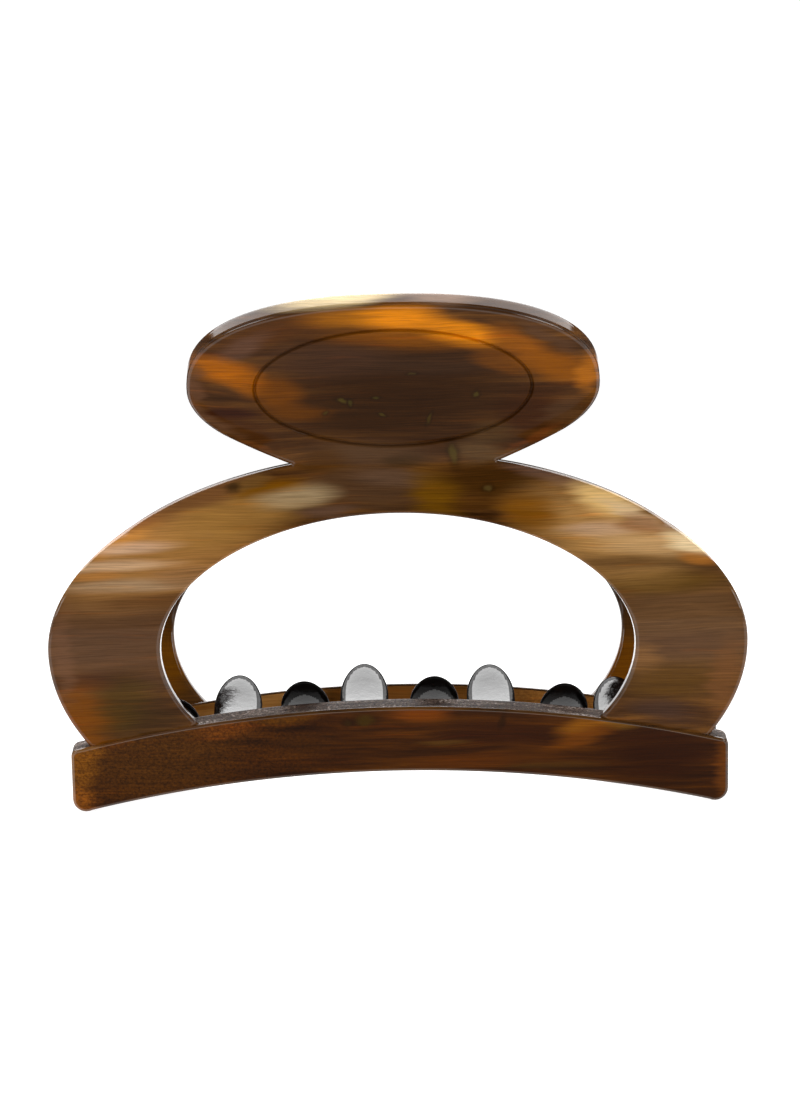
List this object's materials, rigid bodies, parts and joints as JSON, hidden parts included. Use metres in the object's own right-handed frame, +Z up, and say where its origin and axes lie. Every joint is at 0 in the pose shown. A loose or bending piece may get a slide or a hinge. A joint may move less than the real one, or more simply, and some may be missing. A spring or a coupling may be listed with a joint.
{
  "type": "claw hair clip",
  "caption": "Large acetate claw clip with oval thumb handles, arched windowed jaws, curved interlocking teeth, a hinge pin and a torsion spring.",
  "frame": {"origin": "centre of the footprint, on the surface that the ends of the two tooth bars stand on", "axes": "+X along the clip's long side and its hinge pin, +Z up from the tooth bars to the handles, -Y towards the front half"},
  "size_m": [0.0892, 0.039, 0.066],
  "materials": {
    "horn_acetate": "polished, streaked brown and amber cellulose acetate",
    "bar_acetate": "polished on its sides, left sawn and sparkling on its top edge",
    "dark_acetate": "near-black polished acetate",
    "pin_steel": "drawn wire",
    "spring_steel": "drawn spring wire"
  },
  "bodies": {
    "front_half": {"front_jaw": "horn_acetate", "front_tooth_bar": "bar_acetate", "front_tooth_1": "dark_acetate", "front_tooth_2": "dark_acetate", "front_tooth_3": "dark_acetate", "front_tooth_4": "dark_acetate", "front_tooth_5": "dark_acetate", "front_knuckle_left": "dark_acetate", "front_knuckle_right": "dark_acetate", "hinge_pin": "pin_steel", "torsion_spring": "spring_steel"},
    "back_half": {"back_jaw": "horn_acetate", "back_tooth_bar": "bar_acetate", "back_tooth_1": "dark_acetate", "back_tooth_2": "dark_acetate", "back_tooth_3": "dark_acetate", "back_tooth_4": "dark_acetate", "back_tooth_5": "dark_acetate", "back_knuckle_left": "dark_acetate", "back_knuckle_right": "dark_acetate"}
  },
  "joints": [
    {"name": "jaw_hinge", "type": "hinge", "parent": "front_half", "child": "back_half", "pos_m": [0, 0, 0.0443], "axis": [1, 0, 0], "range_deg": [0, 60], "stiffness_Nm_per_rad": 0.15, "springref_deg": -68.75, "deforming": ["torsion_spring"]}
  ]
}
